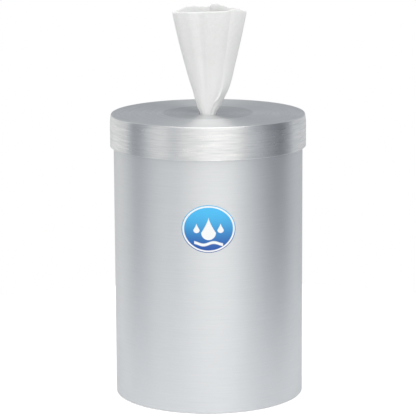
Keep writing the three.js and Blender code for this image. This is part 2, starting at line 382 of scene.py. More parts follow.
def calmLines(tree, lines, height, look):
    # above a level the lines come closer to their mean: 0.5 + (lines - 0.5) * share
    below, above = look["flatFade"]
    level = look["flatLevel"]
    share = rangeNode(tree, height, level + below, level + above, 1.0, 1 - look["flatCalm"])
    spread = times(tree, mathNode(tree, "SUBTRACT", lines, 0.5), share)
    return mathNode(tree, "ADD", spread, 0.5)


def brushedMetal(name, look):
    # noise that is long round the axis and short along the profile, so that the lines run
    # round the walls and in rings on flat tops
    middle = tuple((a + b) / 2 for a, b in zip(look["dark"], look["light"]))
    material, tree, shader = newMaterial(
        name, middle, 0.4, 1.0, Anisotropic=look["anisotropy"], Anisotropic_Rotation=0.25)
    axes = splitAxes(tree, objectPlace(tree))
    unrolled = splitAxes(tree, surfacePlace(tree))

    def lines(count, length):
        # noise over (x * length, y * length, way along the profile * count)
        join = tree.nodes.new("ShaderNodeCombineXYZ")
        tree.links.new(times(tree, axes["X"], length), join.inputs[0])
        tree.links.new(times(tree, axes["Y"], length), join.inputs[1])
        tree.links.new(times(tree, unrolled["Y"], count), join.inputs[2])
        return noiseNode(tree, join.outputs[0], 1.0, 4.0, 0.6)

    fine = lines(look["fineLines"], look["lineLength"])
    broad = lines(look["broadLines"], look["lineLength"] * look["broadStretch"])
    both = weightedSum(tree, (fine, 1 - look["broadShare"]), (broad, look["broadShare"]))
    if "flatLevel" in look:
        both = calmLines(tree, both, axes["Z"], look)
    weak, strong = 0.5 - look["contrast"], 0.5 + look["contrast"]
    tint(tree, shader, rangeNode(tree, both, weak, strong), look["dark"], look["light"])
    if "turnedRadius" in look:
        darkenDisc(tree, shader, axes, look)
    low, high = look["roughness"]
    tree.links.new(rangeNode(tree, both, weak, strong, high, low), shader.inputs["Roughness"])
    bump(tree, shader, both, look["lineDepth"])
    tangent = tree.nodes.new("ShaderNodeTangent")
    tangent.direction_type = "UV_MAP"
    tangent.uv_map = "surface"
    tree.links.new(tangent.outputs[0], shader.inputs["Tangent"])
    return material


linerLook = {"colour": (0.78, 0.80, 0.79), "roughness": 0.42, "waxy": 0.1}
nozzleLook = {"colour": (0.70, 0.73, 0.73), "roughness": 0.40, "waxy": 0.0}


def mouldedPlastic(name, look):
    # smooth moulding: faint cloudy tone and a fine spark-eroded grain
    colour, roughness = look["colour"], look["roughness"]
    material, tree, shader = newMaterial(name, colour, roughness, Subsurface_Weight=look["waxy"])
    cloud = noiseNode(tree, objectPlace(tree), 18.0)
    tint(tree, shader, cloud, tuple(c * 0.95 for c in colour), colour)
    grain = noiseNode(tree, objectPlace(tree), 1800.0, 2.0)
    rough = rangeNode(tree, grain, 0.3, 0.7, roughness - 0.06, roughness + 0.08)
    tree.links.new(rough, shader.inputs["Roughness"])
    bump(tree, shader, grain, 0.00003, 0.5)
    return material


rubberLook = {"colour": (0.022, 0.022, 0.024), "pores": 900.0}
foamLook = {"colour": (0.075, 0.08, 0.085), "pores": 1600.0}


def softRubber(name, look):
    # matt, with an even pitting of so many pores for each metre
    colour = look["colour"]
    material, tree, shader = newMaterial(name, colour, 0.88)
    cells = addNode(tree, "ShaderNodeTexVoronoi", Scale=look["pores"])
    tree.links.new(objectPlace(tree), cells.inputs["Vector"])
    light = tuple(c * 1.5 + 0.01 for c in colour)
    tint(tree, shader, cells.outputs["Distance"], colour, light)
    bump(tree, shader, cells.outputs["Distance"], 0.0002, 0.6)
    return material


clothLook = {
    "dark": (0.715, 0.718, 0.710),
    "light": (0.780, 0.783, 0.773),
    "gathered": (0.970, 0.971, 0.960),  # painted light: the lighter tone where a sheet's own value is 1
    "fibreScale": 1500.0,
    "clumpScale": 260.0,
    "wrinkleScale": 42.0,
    "dimple": 1.9,  # spacing of the embossed dots, mm
}


def paintLight(tree, shader, colour):
    # painted light: blends the base colour to a lighter one by the piece's own value, 1 where it is fully
    # lit
    source = shader.inputs["Base Color"].links[0].from_socket
    blend = mixColours(tree, ownValue(tree, "gather"), source, colour)
    tree.links.new(blend, shader.inputs["Base Color"])


def wetCloth(name, look, onRoll=False):
    # nonwoven of clumped fibres; a drawn sheet also has soft wrinkles, faint rows of embossed
    # dots on its own UV, and painted light that whitens it by its own value
    material, tree, shader = newMaterial(
        name, look["light"], 0.82, Sheen_Weight=0.15, Sheen_Roughness=0.5,
        Subsurface_Weight=0.28, Subsurface_Scale=0.004)
    shader.inputs["Subsurface Radius"].default_value = (1.0, 1.0, 1.0)
    place = objectPlace(tree)
    fibre = noiseNode(tree, place, look["fibreScale"], 4.0, 0.65)
    clump = noiseNode(tree, place, look["clumpScale"], 3.0, 0.6)
    tone = weightedSum(tree, (fibre, 0.5), (clump, 0.5))
    tint(tree, shader, rangeNode(tree, tone, 0.35, 0.65), look["dark"], look["light"])
    relief = [(fibre, 0.25), (clump, 0.5)]
    if not onRoll:
        dots = addNode(tree, "ShaderNodeTexVoronoi", Scale=1000 / look["dimple"], Randomness=0.15)
        tree.links.new(surfacePlace(tree), dots.inputs["Vector"])
        wrinkle = noiseNode(tree, place, look["wrinkleScale"], 2.0, 0.5)
        relief += [(dots.outputs["Distance"], 0.35), (wrinkle, 3.0)]
        # painted light, laid by the piece's own value
        paintLight(tree, shader, look["gathered"])
    bump(tree, shader, weightedSum(tree, *relief), 0.00035, 0.5)
    return material


labelLook = {
    "blue": (0.003, 0.070, 0.360),
    "sky": (0.060, 0.480, 0.840),
    "white": (0.86, 0.87, 0.87),
}


def printedLabel(name, look):
    # two inks on white film, laid by the piece's own values: ink 0 white to 1 blue, and
    # depth 0 sky blue to 1 deep blue
    material, tree, shader = newMaterial(name, look["blue"], 0.32, Coat_Weight=0.3, Coat_Roughness=0.2)
    blues = mixColours(tree, ownValue(tree, "depth"), look["sky"], look["blue"])
    tint(tree, shader, ownValue(tree, "ink"), look["white"], blues)
    film = noiseNode(tree, objectPlace(tree), 900.0)
    bump(tree, shader, film, 0.00001, 0.4)
    return material


# Studio

studio = {
    "floorRadius": 520.0,
    "floorDrop": 0.02,  # how far the floor lies under the foot
    "floorAlbedo": 0.73,
    "floorLift": 0.52,  # added for the camera, so that the open floor is white
    "floorGloss": 0.03,  # added where the metal reflects the floor
    "level": 0.80,
    "coolDark": (0.92, 0.985, 1.08),  # cast of the dim parts of the room
    "warmLight": (1.0, 0.997, 0.972),  # cast of the bright parts
    "castSpan": (0.3, 1.0),  # brightness over which the cast changes
    # brightness round the horizon: degrees from the front, positive to the right
    "bands": (
        (-180, 0.80), (-135, 1.04), (-114, 0.92), (-99, 0.38), (-88, 0.43), (-70, 0.83),
        (-56, 0.94), (-40, 0.69), (-24, 1.02), (8, 1.34), (32, 1.20), (44, 0.79), (60, 0.56),
        (78, 0.33), (96, 0.19), (108, 0.40), (122, 0.80), (155, 0.78), (180, 0.80),
    ),
    # each part of the room fades in over spans of the direction's own X, Y and Z
    "overhead": 1.30,
    "overheadRise": (0.78, 0.96),
    "rearWall": 0.56,
    "rearReach": (0.3, 0.9),
    "rearRise": (0.0, 0.12),
    "rearFlag": 0.25,  # a narrow dark strip high behind the object
    "flagAside": (0.02, 0.12),
    "flagRise": (0.24, 0.40),
    "mattLevel": 0.83,  # matt surfaces see the room more evenly than polished ones
    "mattShare": 0.80,
}


def blendTo(tree, value, target, factor):
    # the value where the factor is 0, and the number target where it is 1
    mix = tree.nodes.new("ShaderNodeMix")
    tree.links.new(factor, mix.inputs["Factor"])
    tree.links.new(value, mix.inputs["A"])
    mix.inputs["B"].default_value = target
    return mix.outputs["Result"]


def worldBands(tree, axes):
    # brightness by compass angle: a ramp over atan2(x, -y), from -180 to 180 degrees, which
    # holds half of each level so that all of them fit between 0 and 1
    back = times(tree, axes["Y"], -1.0)
    angle = mathNode(tree, "ARCTAN2", axes["X"], back)
    share = rangeNode(tree, angle, -np.pi, np.pi)
    ramp = tree.nodes.new("ShaderNodeValToRGB")
    ramp.color_ramp.interpolation = "EASE"
    marks = ramp.color_ramp.elements
    while len(marks) > 1:
        marks.remove(marks[-1])
    for degrees, level in studio["bands"]:
        mark = marks.new((degrees + 180) / 360)
        mark.color = (level / 2, level / 2, level / 2, 1)
    marks.remove(marks[0])
    tree.links.new(share, ramp.inputs["Fac"])
    return times(tree, ramp.outputs["Color"], 2.0)


def roomLevel(tree):
    # brightness in each direction: the bands, over them the rear wall, then the overhead
    # light, and last the dark strip high behind
    place = tree.nodes.new("ShaderNodeTexCoord")
    axes = splitAxes(tree, place.outputs["Generated"])
    aside = mathNode(tree, "ABSOLUTE", axes["X"])
    rear = rangeNode(tree, axes["Y"], *studio["rearReach"])
    above = rangeNode(tree, axes["Z"], *studio["rearRise"])
    high = rangeNode(tree, axes["Z"], *studio["overheadRise"])
    flag = times(tree, rangeNode(tree, aside, *studio["flagAside"], 1.0, 0.0), rear)
    flag = times(tree, flag, rangeNode(tree, axes["Z"], *studio["flagRise"]))
    level = worldBands(tree, axes)
    level = blendTo(tree, level, studio["rearWall"], times(tree, rear, above))
    level = blendTo(tree, level, studio["overhead"], high)
    return blendTo(tree, level, studio["rearFlag"], flag)


def setStudio():
    # the room as the world: evened out for matt surfaces, cool where dim and warm where
    # bright, and plain white to the camera
    world = bpy.data.worlds.new("studioWorld")
    world.use_nodes = True
    bpy.context.scene.world = world
    tree = world.node_tree
    path = tree.nodes.new("ShaderNodeLightPath")
    seen = path.outputs["Is Camera Ray"]
    matt = mathNode(tree, "SUBTRACT", 1.0, path.outputs["Is Glossy Ray"])
    evened = times(tree, matt, studio["mattShare"])
    level = blendTo(tree, roomLevel(tree), studio["mattLevel"], evened)
    warmth = rangeNode(tree, level, *studio["castSpan"])
    cast = mixColours(tree, warmth, studio["coolDark"], studio["warmLight"])
    level = times(tree, level, studio["level"])
    shader = tree.nodes["Background"]
    tree.links.new(mixColours(tree, seen, cast, (1.0, 1.0, 1.0)), shader.inputs["Color"])
    tree.links.new(blendTo(tree, level, 1.0, seen), shader.inputs["Strength"])
    bpy.context.scene.view_settings.view_transform = "Standard"


def setFloor():
    # a round pale floor under the canister; the world is as white beyond it
    material = bpy.data.materials.new("studioFloor")
    material.use_nodes = True
    tree = material.node_tree
    tree.nodes.remove(tree.nodes["Principled BSDF"])
    diffuse = tree.nodes.new("ShaderNodeBsdfDiffuse")
    albedo = studio["floorAlbedo"]
    diffuse.inputs["Color"].default_value = (albedo, albedo, albedo, 1)
    path = tree.nodes.new("ShaderNodeLightPath")
    lift = weightedSum(tree, (path.outputs["Is Camera Ray"], studio["floorLift"]),
                       (path.outputs["Is Glossy Ray"], studio["floorGloss"]))
    glow = tree.nodes.new("ShaderNodeEmission")
    tree.links.new(lift, glow.inputs["Strength"])
    join = tree.nodes.new("ShaderNodeAddShader")
    tree.links.new(diffuse.outputs[0], join.inputs[0])
    tree.links.new(glow.outputs[0], join.inputs[1])
    tree.links.new(join.outputs[0], tree.nodes["Material Output"].inputs["Surface"])
    drop = -studio["floorDrop"]
    profile = np.array([[studio["floorRadius"], drop], [0, drop]])
    obj = lathe("floor", profile, closed=False, steps=96)
    obj.data.flip_normals()
    obj.data.materials.append(material)


lamps = {
    "keyLamp": {
        "place": (0.05, -1.35, 2.38), "target": (0, 0, 0.25), "size": (3.2, 1.1), "power": 51.0,
        "mirrored": False,  # the metal doesn't reflect it
    },
    "shoulderLamp": {
        "place": (0.05, -0.65, 2.45), "target": (0, 0, 0.3), "size": (2.4, 0.45), "power": 8.5,
        "mirrored": True,  # it draws the bright line on the lid's shoulder
    },
}


def setLamp(name, lamp):
    # a rectangle of light at its place, turned to its target and hidden from the camera
    data = bpy.data.lights.new(name, "AREA")
    data.shape = "RECTANGLE"
    data.size, data.size_y = lamp["size"]
    data.energy = lamp["power"]
    obj = bpy.data.objects.new(name, data)
    place = Vector(lamp["place"])
    obj.location = place
    obj.rotation_euler = (Vector(lamp["target"]) - place).to_track_quat("-Z", "Y").to_euler()
    bpy.context.collection.objects.link(obj)
    obj.visible_camera = False
    obj.visible_glossy = lamp["mirrored"]


# Pieces

def finishPiece(obj, body, material, slot, *replaced):
    # gives a piece its material, the body it rides on and the nodes it replaces; slot is not used
    obj.data.materials.append(material)
    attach(obj, body)
    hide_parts(*replaced)


canister = {
    "radius": 101.5, "wall": 1.2, "bottom": 0.8, "rim": 299.6, "hem": 6.0,
    "edgeRound": 0.35, "rimRound": 1.1, "hemRound": 0.3,
}


def makeCanister(material):
    # profile of a tube whose upper edge is rolled inwards and down once
    c = canister
    inner = c["radius"] - c["wall"]
    hemInner = inner - c["wall"]
    hemEnd = c["rim"] - c["hem"]
    profile = filleted([
        (c["radius"], c["bottom"], c["edgeRound"]),
        (c["radius"], c["rim"], c["rimRound"]),
        (hemInner, c["rim"], c["rimRound"]),
        (hemInner, hemEnd, c["hemRound"]),
        (inner, hemEnd, c["hemRound"]),
        (inner, c["bottom"], c["edgeRound"]),
    ])
    obj = lathe("canister", profile)
    finishPiece(obj, "canister", material, "brushed_aluminium", "canister_shell")


lid = {
    "radius": 105.2, "wall": 1.2, "top": 306.0, "bottom": 271.0, "bow": 8.5, "lean": 1.1,
    "dishRadius": 49.5, "dishStep": 0.35, "dishRing": 2.5, "dishDepth": 1.15,
    "port": 9.4, "collar": 298.6,
    "edgeRound": 0.8, "bowRound": 14.0, "shoulderRound": 1.9, "dishRound": 2.5,
    "portRound": 1.5, "collarRound": 0.4,
    # the same on the inner face
    "innerEdge": 0.3, "innerBow": 12.0, "innerShoulder": 1.5, "innerRing": 3.0, "innerDish": 2.0,
}


def makeLid(material):
    # profile of a skirt, rounded shoulder, flat top that falls in two slopes to a turned-down
    # collar round the port, and back inside at the wall's thickness
    d = lid
    r, top, wall = d["radius"], d["top"], d["wall"]
    port, collar = d["port"], d["collar"]
    dish = top - d["dishDepth"]
    step = top - d["dishStep"]
    profile = filleted([
        (r, d["bottom"], d["edgeRound"]),
        (r, top - d["bow"], d["bowRound"]),
        (r - d["lean"], top, d["shoulderRound"]),
        (d["dishRadius"], top, d["dishRound"]),
        (d["dishRadius"] - d["dishRing"], step, d["dishRound"]),
        (port, dish, d["portRound"]),
        (port, collar, d["collarRound"]),
        (port + wall, collar, d["collarRound"]),
        (port + wall, dish - wall, d["collarRound"]),
        (d["dishRadius"] - d["innerRing"], step - wall, d["innerDish"]),
        (d["dishRadius"], top - wall, d["innerDish"]),
        (r - wall - d["lean"], top - wall, d["innerShoulder"]),
        (r - wall, top - d["bow"], d["innerBow"]),
        (r - wall, d["bottom"], d["innerEdge"]),
    ], steps=8)
    obj = lathe("lid", profile)
    finishPiece(obj, "lid", material, "brushed_aluminium", "lid_shell")


base = {
    "radius": 100.0, "under": 8.8, "top": 10.0, "bottom": 0.8, "wall": 1.2,
    "innerRound": 0.8, "edgeRound": 0.4, "shoulderRound": 1.1,
}


def makeBase(material):
    # profile of a pressed disc with a turned-down flange
    b = base
    inner = b["radius"] - b["wall"]
    profile = filleted([
        (0.0, b["under"], 0.0),
        (inner, b["under"], b["innerRound"]),
        (inner, b["bottom"], b["edgeRound"]),
        (b["radius"], b["bottom"], b["edgeRound"]),
        (b["radius"], b["top"], b["shoulderRound"]),
        (0.0, b["top"], 0.0),
    ], closed=False)
    obj = lathe("basePlate", profile, closed=False)
    finishPiece(obj, "canister", material, "pressed_aluminium", "base_plate")


foot = {
    "outer": 98.5, "inner": 91.5, "top": 8.5, "grooves": 2, "grooveDepth": 0.9,
    "edgeRound": 1.2, "topRound": 0.5, "lipRound": 0.3, "grooveRound": 0.4,
}


def makeFoot(material):
    # profile of a rubber ring with V-shaped grooves in its underside, as wide as the lands
    # between them
    f = foot
    step = (f["outer"] - f["inner"]) / (2 * f["grooves"] + 1)
    profile = [(f["inner"], 0.0, f["edgeRound"])]
    for k in range(f["grooves"]):
        start = f["inner"] + (2 * k + 1) * step
        profile += [
            (start, 0.0, f["lipRound"]),
            (start + 0.5 * step, f["grooveDepth"], f["grooveRound"]),
            (start + step, 0.0, f["lipRound"]),
        ]
    profile += [
        (f["outer"], 0.0, f["edgeRound"]),
        (f["outer"], f["top"], f["topRound"]),
        (f["inner"], f["top"], f["topRound"]),
    ]
    obj = lathe("footRing", filleted(profile))
    finishPiece(obj, "canister", material, "black_rubber", "foot_ring")


liner = {
    "bottom": 10.3, "baseRadius": 96.0, "topRadius": 98.5, "corner": 6.0, "wall": 1.6,
    "floor": 2.0, "neck": 293.6, "lipBottom": 299.9, "lipTop": 301.7, "lipInner": 101.8,
    "lipOuter": 103.7, "lipDrop": 9.0, "neckRound": 3.0, "lipRound": 1.6, "mouthRound": 0.8,
    "hookRound": 0.4, "hookInner": 0.3, "tipRound": 0.6,
}


def makeLiner(material):
    # profile of a tapered bucket with a rolled lip that hooks over the tube
    b = liner
    lipEnd = b["lipTop"] - b["lipDrop"]
    floor = b["bottom"] + b["floor"]
    mouth = b["topRadius"] - b["wall"]
    profile = filleted([
        (0.0, b["bottom"], 0.0),
        (b["baseRadius"], b["bottom"], b["corner"]),
        (b["topRadius"], b["neck"], b["neckRound"]),
        (b["topRadius"], b["lipBottom"], b["hookRound"]),
        (b["lipInner"], b["lipBottom"], b["hookInner"]),
        (b["lipInner"], lipEnd, b["hookRound"]),
        (b["lipOuter"], lipEnd, b["tipRound"]),
        (b["lipOuter"], b["lipTop"], b["lipRound"]),
        (mouth, b["lipTop"], b["mouthRound"]),
        (mouth, b["neck"], b["neckRound"]),
        (b["baseRadius"] - b["wall"], floor, b["corner"] - b["wall"]),
        (0.0, floor, 0.0),
    ], closed=False)
    obj = lathe("liner", profile, closed=False)
    finishPiece(obj, "canister", material, "liner_plastic", "liner_bucket")


seal = {
    "inner": 96.2, "outer": 101.2, "bottom": 302.0, "top": 304.5, "lowRound": 0.7, "topRound": 0.3,
}


def makeSeal(material):
    # profile of a flat foam ring, rounder below where it is pressed
    s = seal
    profile = filleted([
        (s["inner"], s["bottom"], s["lowRound"]),
        (s["outer"], s["bottom"], s["lowRound"]),
        (s["outer"], s["top"], s["topRound"]),
        (s["inner"], s["top"], s["topRound"]),
    ])
    obj = lathe("lidSeal", profile)
    finishPiece(obj, "lid", material, "grey_foam", "lid_seal")


nozzle = {
    "flangeTop": 303.3, "flange": 26.0, "flangeThick": 1.6, "socket": 10.9, "wall": 2.0,
    "shelf": 296.8, "drop": 12.0, "flare": 8.0,
    "mouthRound": 0.5, "skirtRound": 0.8, "throatRound": 2.0, "neckRound": 1.2, "rimRound": 0.4,
    "petals": 6, "petalThick": 1.1, "petalJoin": 0.05, "petalTip": 8.55, "petalRise": 0.35,
    "slit": 0.8, "petalRows": 7, "petalColumns": 13, "crispAngle": 40,
}


def petalGrid():
    # undersides of the petals: each is a sector between two slits, from inside the socket's
    # wall in to its tip, and climbs by the square of the way there
    n = nozzle
    across = np.linspace(-1, 1, n["petalColumns"])
    inwards = np.linspace(0, 1, n["petalRows"])
    root = n["socket"] + n["petalJoin"]
    radius = root + (n["petalTip"] - root) * inwards
    half = np.pi / n["petals"] - n["slit"] / 2 / radius
    middle = wholeTurn(n["petals"]) + np.pi / n["petals"]
    theta = middle[:, None, None] + (half[:, None] * across[None, :])[None]
    r = np.broadcast_to(radius[None, :, None], theta.shape)
    z = n["shelf"] + n["petalRise"] * (inwards ** 2)[None, :, None] + 0 * theta
    return np.stack([r * np.cos(theta), r * np.sin(theta), z], -1)


def makeNozzle(material):
    # profile of a flange, a socket and a skirt that flares downwards; each petal is a closed
    # band round its two faces, and its two open ends are filled
    n = nozzle
    socket = n["socket"]
    outer = socket + n["wall"]
    low = n["shelf"] - n["drop"]
    under = n["flangeTop"] - n["flangeThick"]
    profile = filleted([
        (socket, n["shelf"], n["mouthRound"]),
        (socket + n["flare"], low, n["skirtRound"]),
        (outer + n["flare"], low, n["skirtRound"]),
        (outer, n["shelf"], n["throatRound"]),
        (outer, under, n["neckRound"]),
        (n["flange"], under, n["mouthRound"]),
        (n["flange"], n["flangeTop"], n["rimRound"]),
        (socket, n["flangeTop"], n["mouthRound"]),
    ])
    obj = lathe("nozzle", profile, steps=96)
    along = np.arange(2.0 * n["petalRows"] + 1)
    across = np.arange(1.0 * n["petalColumns"])
    work = bmesh.new()
    work.from_mesh(obj.data)
    for lower in petalGrid():
        upper = lower + np.array([0, 0, n["petalThick"]])
        band = gridPiece("petal", np.concatenate([lower, upper[::-1]]), along, across, True, False)
        work.from_mesh(band.data)
        bpy.data.objects.remove(band)
    bmesh.ops.holes_fill(work, edges=[e for e in work.edges if e.is_boundary], sides=0)
    bmesh.ops.recalc_face_normals(work, faces=work.faces)
    work.to_mesh(obj.data)
    work.free()
    smoothFaces(obj)
    obj.data.set_sharp_from_angle(angle=np.radians(n["crispAngle"]))
    finishPiece(obj, "lid", material, "nozzle_plastic", "wipe_nozzle")


roll = {
    "radius": 90.0, "core": 22.0, "bottom": 12.6, "top": 215.6, "edge": 0.8, "shoulder": 2.2,
    "wallRings": (80.0, 150.0), "faceMargins": (0.6, 0.4), "faceDrop": 0.75,
    "turnPitch": 1.7, "turnDepth": 1.0, "sharpness": 0.6, "uneven": 0.35,
    "wobble": ((0.35, 3, 0.0), (0.25, 7, 0.3)),  # height, waves round the axis, twist for each mm
    "wobbleShare": 0.5, "faceSteps": 190, "aroundSteps": 256,
}


def rollFace(radius, angle):
    # upper face as a spiral of low ridges: their height is a root of |sin(pi phase)|, where the
    # phase is radius / pitch - turns + wobble, on a face that is itself a little uneven
    d = roll
    wobble = sum(height * np.sin(waves * angle + radius * twist) for height, waves, twist in d["wobble"])
    phase = radius / d["turnPitch"] - angle / (2 * np.pi) + wobble * d["wobbleShare"]
    ridge = np.abs(np.sin(np.pi * phase)) ** d["sharpness"]
    uneven = d["uneven"] * np.sin(radius * 0.55 + 2 * np.sin(2 * angle))
    return d["top"] - d["turnDepth"] * (1 - ridge) - d["faceDrop"] + uneven


def makeRoll(material):
    # a closed ring: the base, the outer wall, the wound face, and the core's wall back down
    d = roll
    outerMargin, coreMargin = d["faceMargins"]
    angle = wholeTurn(d["aroundSteps"])
    face = np.linspace(d["radius"] - outerMargin, d["core"] + coreMargin, d["faceSteps"])
    wallZ = np.array([d["bottom"] + d["edge"], *d["wallRings"], d["top"] - d["shoulder"]])
    wall = np.ones(len(wallZ))
    radius = np.concatenate([
        [d["core"] + d["edge"], d["radius"] - d["edge"]], d["radius"] * wall, face, d["core"] * wall])
    level = np.concatenate([[d["bottom"], d["bottom"]], wallZ, 0 * face, wallZ[::-1]])
    height = np.repeat(level[:, None], d["aroundSteps"], 1)
    first = 2 + len(wallZ)
    height[first:first + len(face)] = rollFace(face[:, None], angle[None])
    lengths = lengthAlong(np.stack([radius, level], 1))
    along = np.append(lengths, lengths[-1] + 1) * mm
    across = np.arange(d["aroundSteps"] + 1) / d["aroundSteps"]
    points = roundAxis(radius[:, None], angle, height)
    obj = closeUp(gridPiece("wipesRoll", points, along, across, True, True))
    finishPiece(obj, "canister", material, "wipe_cloth", "wipes_roll")


# Sheets of cloth

sheet = {"width": 203.0, "length": 152.0, "thick": 0.35}

# the standing sheet: heights are above the lid, and a place across is a share of the half
# width, from -1 at the left fold to 1 at the right. frontTurn and foldSpan are spans of how
# far a point faces its own side, up to 1
fan = {
    "lidTop": 306.0, "rise": 115.0, "neck": 7.9, "halfWidth": 40.8, "halfDepth": 14.0,
    "power": 0.64, "start": 4.0, "fullRise": 108.0, "openMost": 1.05, "tipPinch": 0.7,
    "neckSpread": 0.95, "spreadRise": (-7, -2),
    "aside": 0.3, "lean": 2.4, "leanRise": (0, 27),
    "overlap": 42.0, "layerGap": 1.6, "gapAtNeck": 0.35, "seam": 0.03,
    # upper edge: its height at the left fold, then steps (from, to, rise) across
    "frontEdge": (107.4, (-1.0, -0.9, 1.3), (-0.35, 0.0, 0.9)),
    "backEdge": (107.8, (-1.0, -0.58, 5.5), (-0.5, 0.0, -0.5), (0.1, 0.6, -4.0)),
    "cornerHeight": 116.5, "cornerFall": 8.0, "cornerSpan": (0.44, 0.62),
    "teeth": 2.6, "toothDepth": 0.9, "frontTorn": 0.35,
    "ragged": ((0.35, 61, 0.0), (0.3, 143, 1.3)),  # height, frequency and phase
    "grooves": 12, "grooveDepth": 7.8, "grooveRise": (-6, 78),
    "frontCalm": 0.93, "frontTurn": (-0.45, 0.35), "calmRise": (-10, -4),
    # the right-hand edge swells a little above the neck
    "bulge": 1.0, "bulgeAcross": (0.2, 0.9), "bulgeRise": (32, 13),
    # hollows down the front: place across, width, depth in mm
    "hollows": ((-0.31, 0.14, 3.0), (0.56, 0.07, 0.9), (-0.72, 0.11, 0.5), (0.16, 0.10, 0.5)),
    "hollowDrift": 0.06, "foldSpan": (0.0, 0.35), "backWave": (0.8, 5.5, 1.0),
    # one slanting crease that stands forward just above the neck
    "crease": {
        "place": 0.36, "drift": 0.26, "driftRise": (9, 18), "width": 0.06, "height": 1.1,
        "rise": (17, 8),
    },
    "paintedLightRise": (5, 105), "columns": 288, "rows": 96,
}


def steppedEdge(place, first, *steps):
    # a height at the left fold plus one smooth step for each (from, to, rise)
    return first + sum(rise * smoothStep(low, high, place) for low, high, rise in steps)


def topEdge(angle):
    # height of the upper edge: a stepped line over the front, another over the left of the
    # back, and a straight slope from the sheet's corner in the back down to the right-hand
    # fold, which the front line runs into
    f = fan
    place = -np.sin(angle)
    corner = f["cornerHeight"] - f["cornerFall"] * np.clip(place, 0, 1)
    front = steppedEdge(place, *f["frontEdge"])
    front = front + (corner - front) * smoothStep(*f["cornerSpan"], place)
    back = np.cos(angle) > 0
    edge = np.where(back & (angle < np.pi), steppedEdge(place, *f["backEdge"]), front)
    return np.where(back & (angle > np.pi), corner, edge)


def wipeRise(angle, across):
    # height of every point: even steps from the lower end, which hangs in the nozzle, up to an
    # upper edge with a triangle wave of teeth and a slow raggedness, both weaker in front
    f = fan
    tooth = f["toothDepth"] * (np.abs((across * sheet["width"] / f["teeth"]) % 1 - 0.5) * 2 - 0.5)
    ragged = sum(height * np.sin(across * waves + phase) for height, waves, phase in f["ragged"])
    torn = np.where(np.cos(angle) > 0, 1.0, f["frontTorn"])
    top = topEdge(angle) + (ragged - tooth) * torn
    low = f["rise"] - sheet["length"]
    return low + (top[None, :] - low) * np.linspace(0, 1, f["rows"])[:, None]


def evenAngles(count, widest, deepest, start, end):
    # angles round a flattened loop that share its length evenly, from start to end in radians
    fineAngle = np.linspace(start, end, 2000)
    x = widest * np.sin(fineAngle)
    y = deepest * np.cos(fineAngle) * np.abs(np.cos(fineAngle)) ** fan["tipPinch"]
    length = lengthAlong(np.stack([x, y], 1))
    return np.interp(np.linspace(0, length[-1], count), length, fineAngle)


def pleats(angle, count):
    # gathers: broad rounded lobes parted by narrow grooves, 0 on a lobe and 1 in a groove,
    # as one minus a root of the sine, whose phase is a little uneven round the neck
    uneven = 0.45 * np.sin(2 * angle + 1.0)
    least, power = 0.003, 0.3  # the first rounds the bottom of a groove
    return 1 - (np.sin(0.5 * count * angle + uneven) ** 2 + least) ** power


def fanShare(rise):
    # (rise + start)^power - start^power, as a share of what it is at the fan's full rise
    start, power = fan["start"], fan["power"]
    whole = (fan["fullRise"] + start) ** power - start ** power
    return ((np.maximum(rise, 0) + start) ** power - start ** power) / whole


def loopSizes(angle, rise):
    # half width and half depth of the loop: neck + (full - neck) * share, less the grooves of
    # the pleats, which fade out upwards, and in front already inside the port
    f = fan
    share = fanShare(rise)
    facing = smoothStep(*f["frontTurn"], -np.cos(angle))
    calm = 1 - f["frontCalm"] * facing * smoothStep(*f["calmRise"], rise)
    deep = f["grooveDepth"] * (1 - smoothStep(*f["grooveRise"], rise)) * calm
    groove = deep * pleats(angle, f["grooves"])
    neck = f["neck"] + f["neckSpread"] * smoothStep(*f["spreadRise"], rise)
    swell = f["bulge"] * bell(rise, *f["bulgeRise"]) * smoothStep(*f["bulgeAcross"], -np.sin(angle))
    halfWidth = neck + (f["halfWidth"] - neck) * share - groove + swell
    halfDepth = neck + (f["halfDepth"] - neck) * share - groove
    return halfWidth, halfDepth


def foldPush(angle, rise, opened):
    # how far the two faces are pushed back: bells down the front that drift outwards as the fan
    # opens, a slow wave across the back, and the crease, which is a bell across and upwards
    f = fan
    c = f["crease"]
    place = -np.sin(angle)
    isFront = smoothStep(*f["foldSpan"], -np.cos(angle))
    isBack = smoothStep(*f["foldSpan"], np.cos(angle))
    height, waves, phase = f["backWave"]
    push = height * isBack * np.sin(waves * place + phase) * opened
    for at, wide, depth in f["hollows"]:
        drift = at * (1 - f["hollowDrift"] * (1 - opened))
        push = push + depth * bell(place, drift, wide) * isFront * opened ** 0.8
    line = c["place"] + c["drift"] * smoothStep(*c["driftRise"], rise)
    ridge = c["height"] * bell(place, line, c["width"]) * bell(rise, *c["rise"])
    return push - ridge * isFront


